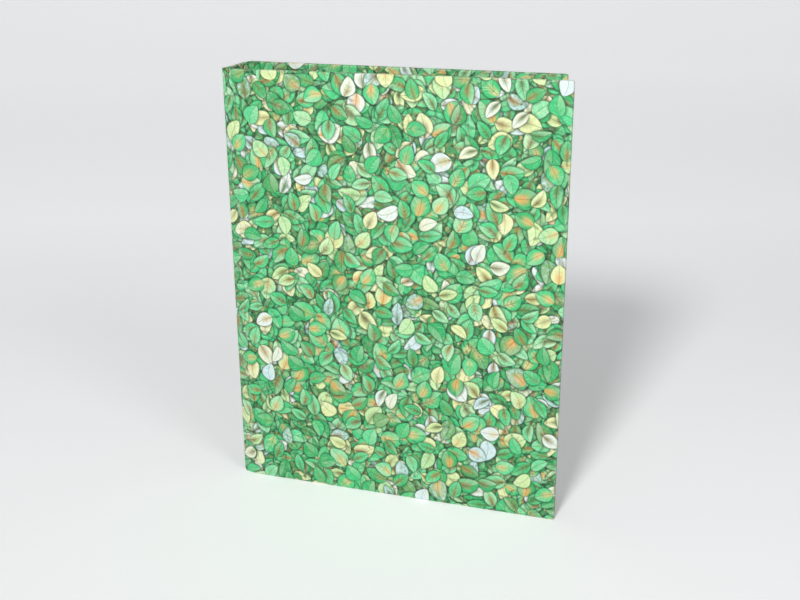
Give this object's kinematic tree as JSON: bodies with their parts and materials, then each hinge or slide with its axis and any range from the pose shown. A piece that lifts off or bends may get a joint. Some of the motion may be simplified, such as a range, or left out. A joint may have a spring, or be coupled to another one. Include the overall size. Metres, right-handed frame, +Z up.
{
  "type": "ring binder",
  "caption": "Hardcover ring binder in leaf-printed paper, with hinged covers, a riveted split-ring mechanism and a lever at each end.",
  "frame": {"origin": "middle of the bounding box at the bottom edge that the closed binder stands on", "axes": "+Z up along the spine, -Y out of the front cover, +X from the spine to the fore edge"},
  "size_m": [0.1826, 0.0374, 0.229],
  "materials": {
    "printed_paper": "satin printed paper in greens, cream and ochre",
    "lining_paper": "matt uncoated",
    "greyboard": "matt pressed board",
    "nickel_steel": "bright nickel plate"
  },
  "bodies": {
    "spine": {"spine_board": "greyboard", "spine_covering": "printed_paper", "spine_lining": "lining_paper", "front_joint_strip": "printed_paper", "back_joint_strip": "printed_paper", "mechanism_housing": "nickel_steel", "top_rivet": "nickel_steel", "bottom_rivet": "nickel_steel", "top_rivet_collar": "nickel_steel", "bottom_rivet_collar": "nickel_steel", "top_lever_pin": "nickel_steel", "bottom_lever_pin": "nickel_steel"},
    "front_cover": {"front_board": "greyboard", "front_covering": "printed_paper", "front_lining": "lining_paper"},
    "back_cover": {"back_board": "greyboard", "back_covering": "printed_paper", "back_lining": "lining_paper"},
    "front_plate": {"front_hinge_plate": "nickel_steel", "bottom_ring_front_half": "nickel_steel", "middle_ring_front_half": "nickel_steel", "top_ring_front_half": "nickel_steel"},
    "back_plate": {"back_hinge_plate": "nickel_steel", "bottom_ring_back_half": "nickel_steel", "middle_ring_back_half": "nickel_steel", "top_ring_back_half": "nickel_steel"},
    "top_lever": {"top_lever": "nickel_steel"},
    "bottom_lever": {"bottom_lever": "nickel_steel"}
  },
  "joints": [
    {"name": "front_cover_hinge", "type": "hinge", "parent": "spine", "child": "front_cover", "pos_m": [-0.08801, -0.01754, 0.1145], "axis": [0, 0, -1], "range_deg": [-2, 180]},
    {"name": "back_cover_hinge", "type": "hinge", "parent": "spine", "child": "back_cover", "pos_m": [-0.08977, 0.01756, 0.1145], "axis": [0, 0, 1], "range_deg": [-2, 180]},
    {"name": "ring_opening", "type": "hinge", "parent": "spine", "child": "front_plate", "pos_m": [-0.08374, -0.00942, 0.1145], "axis": [0, 0, -1], "range_deg": [0, 13]},
    {"name": "back_plate_hinge", "type": "hinge", "parent": "spine", "child": "back_plate", "pos_m": [-0.08451, 0.00516, 0.1145], "axis": [0, 0, 1], "range_deg": [0, 13]},
    {"name": "top_lever_pivot", "type": "hinge", "parent": "spine", "child": "top_lever", "pos_m": [-0.08422, -0.00214, 0.2065], "axis": [0.0523, -0.9986, 0], "range_deg": [0, 24]},
    {"name": "bottom_lever_pivot", "type": "hinge", "parent": "spine", "child": "bottom_lever", "pos_m": [-0.08422, -0.00214, 0.0225], "axis": [-0.0523, 0.9986, 0], "range_deg": [0, 24]}
  ],
  "couplings": [
    {"joint": "back_plate_hinge", "follows": "ring_opening", "ratio": 1},
    {"joint": "top_lever_pivot", "follows": "ring_opening", "ratio": 1.846},
    {"joint": "bottom_lever_pivot", "follows": "ring_opening", "ratio": 1.846}
  ]
}
